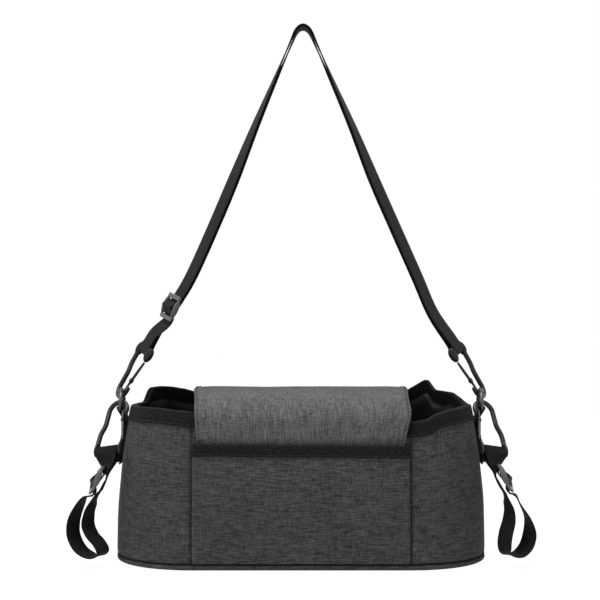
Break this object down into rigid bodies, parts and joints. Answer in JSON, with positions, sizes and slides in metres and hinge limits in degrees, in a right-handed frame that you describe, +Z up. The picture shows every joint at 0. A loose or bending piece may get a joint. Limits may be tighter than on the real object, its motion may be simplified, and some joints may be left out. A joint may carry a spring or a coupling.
{
  "type": "stroller bag",
  "caption": "Fabric organiser bag with a tucked flap, front pocket, doubled shoulder strap on snap hooks and hanging strap loops for a handlebar.",
  "frame": {"origin": "centre of the flat base, on the surface the bag stands on", "axes": "+X towards the bag's right end as seen from the front, -Y towards the front pocket, +Z up"},
  "size_m": [0.4498, 0.1634, 0.5316],
  "materials": {
    "melange_cloth": "charcoal melange weave",
    "lining_cloth": "smooth black lining",
    "binding_tape": "black woven tape",
    "webbing": "black ribbed webbing",
    "hook_plastic": "satin moulded",
    "slider_plastic": "satin moulded",
    "ring_metal": "dark plated",
    "fibre_board": "plain board"
  },
  "bodies": {
    "bag": {"base_panel": "melange_cloth", "base_board": "fibre_board", "base_welt": "binding_tape", "body_shell": "melange_cloth", "lining": "lining_cloth", "rim_binding": "binding_tape", "front_pocket": "melange_cloth", "pocket_binding": "binding_tape", "top_flap": "melange_cloth", "divider_left": "lining_cloth", "divider_right": "lining_cloth", "ring_tab_left": "webbing", "ring_tab_right": "webbing", "d_ring_left": "ring_metal", "d_ring_right": "ring_metal", "shoulder_strap": "webbing", "shoulder_slider": "slider_plastic", "shoulder_hook_left": "hook_plastic", "shoulder_hook_right": "hook_plastic"},
    "left_stroller_strap": {"stroller_hook_left": "hook_plastic", "stroller_slider_left": "slider_plastic", "stroller_strap_left": "webbing"},
    "right_stroller_strap": {"stroller_hook_right": "hook_plastic", "stroller_slider_right": "slider_plastic", "stroller_strap_right": "webbing"},
    "left_stroller_gate": {"stroller_gate_left": "hook_plastic"},
    "right_stroller_gate": {"stroller_gate_right": "hook_plastic"},
    "left_shoulder_gate": {"shoulder_gate_left": "hook_plastic"},
    "right_shoulder_gate": {"shoulder_gate_right": "hook_plastic"}
  },
  "joints": [
    {"name": "left_shoulder_gate_hinge", "type": "hinge", "parent": "bag", "child": "left_shoulder_gate", "pos_m": [-0.15638, -0.00559, 0.19408], "axis": [0.7826, 0.4282, -0.4518], "range_deg": [0, 14], "stiffness_Nm_per_rad": 0.02},
    {"name": "left_strap_swing", "type": "hinge", "parent": "bag", "child": "left_stroller_strap", "pos_m": [-0.17895, 0, 0.149], "axis": [0, 1, 0], "range_deg": [0, 30]},
    {"name": "left_stroller_gate_hinge", "type": "hinge", "parent": "left_stroller_strap", "child": "left_stroller_gate", "pos_m": [-0.17396, -0.03723, 0.12169], "axis": [-0.5177, -0.6903, 0.5055], "range_deg": [0, 14], "stiffness_Nm_per_rad": 0.02},
    {"name": "right_shoulder_gate_hinge", "type": "hinge", "parent": "bag", "child": "right_shoulder_gate", "pos_m": [0.15638, -0.00559, 0.19408], "axis": [0.7826, -0.4282, 0.4518], "range_deg": [0, 14], "stiffness_Nm_per_rad": 0.02},
    {"name": "right_strap_swing", "type": "hinge", "parent": "bag", "child": "right_stroller_strap", "pos_m": [0.17895, 0, 0.149], "axis": [0, -1, 0], "range_deg": [0, 30]},
    {"name": "right_stroller_gate_hinge", "type": "hinge", "parent": "right_stroller_strap", "child": "right_stroller_gate", "pos_m": [0.17396, -0.03723, 0.12169], "axis": [-0.5177, 0.6903, -0.5055], "range_deg": [0, 14], "stiffness_Nm_per_rad": 0.02}
  ]
}
